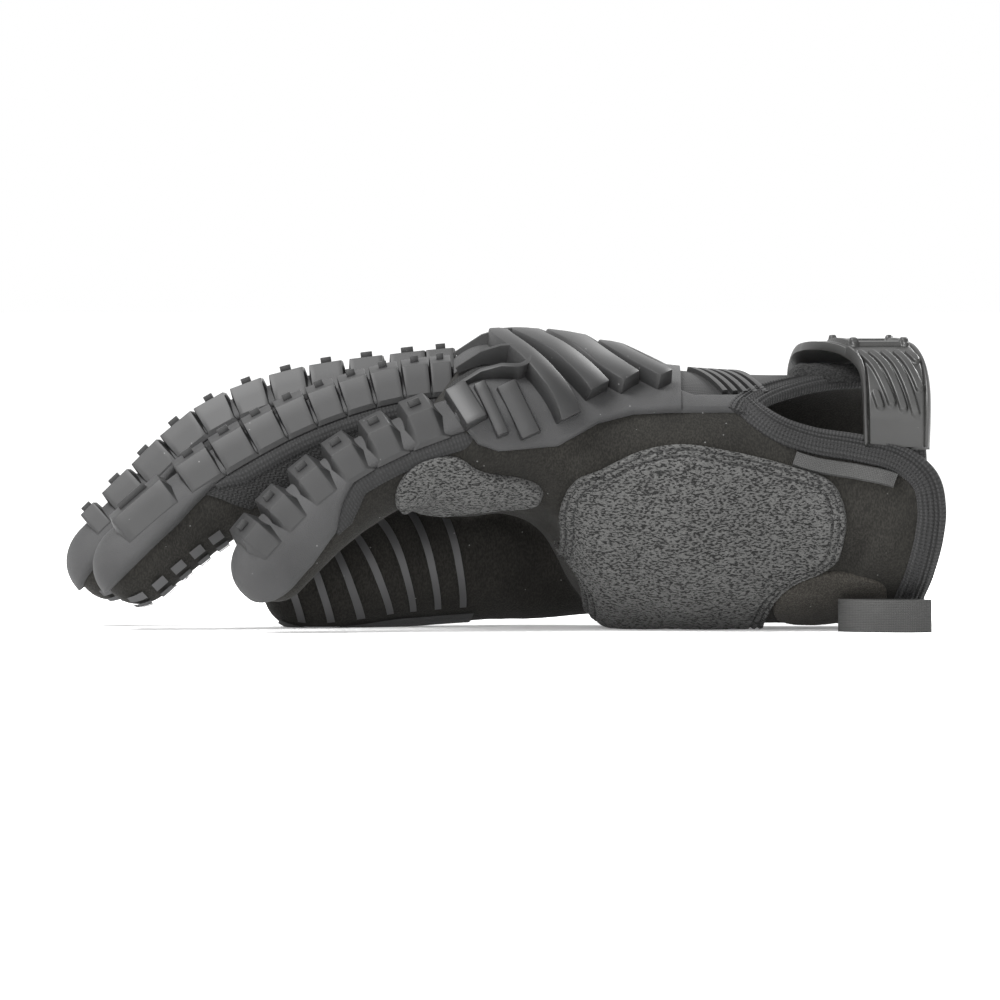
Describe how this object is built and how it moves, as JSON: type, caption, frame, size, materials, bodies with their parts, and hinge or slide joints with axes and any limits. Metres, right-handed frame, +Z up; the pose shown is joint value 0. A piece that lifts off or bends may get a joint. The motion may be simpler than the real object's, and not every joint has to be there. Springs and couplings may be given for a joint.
{
  "type": "mechanic glove",
  "caption": "Left-hand impact work glove lying palm down: suede palm, knit back, moulded rubber knuckle and finger guards, pebbled palm pads, ribbed cuff and rubber wrist strap.",
  "frame": {"origin": "middle of the glove on the surface that it lies on: middle of the box in X and Y, lowest point in Z", "axes": "-X towards the fingertips, +X towards the cuff, +Z up out of the back of the hand, -Y the little-finger side"},
  "size_m": [0.2346, 0.102, 0.0797],
  "materials": {
    "palm_suede": "brushed suede, speckled with lint",
    "back_knit": "fine matt knit",
    "pebbled_grip": "pebbled, matt",
    "moulded_rubber": "satin",
    "strap_rubber": "satin",
    "ribbed_binding": "ribbed elastic",
    "loop_pile": "fuzzy loop pile",
    "woven_trim": "woven"
  },
  "bodies": {
    "root": {"palm_panel": "palm_suede", "thumb_back": "palm_suede", "loop_patch": "palm_suede", "back_panel": "back_knit", "gusset_ring": "back_knit", "gusset_middle": "back_knit", "gusset_index": "back_knit", "palm_pad": "pebbled_grip", "distal_pad": "pebbled_grip", "knuckle_guard": "moulded_rubber", "finger_guard_little": "moulded_rubber", "finger_guard_ring": "moulded_rubber", "finger_guard_middle": "moulded_rubber", "finger_guard_index": "moulded_rubber", "back_relief": "moulded_rubber", "closure_strap": "strap_rubber", "closure_pad": "loop_pile", "cuff_binding": "ribbed_binding", "label_tab": "woven_trim", "pull_loop": "woven_trim"}
  },
  "joints": []
}
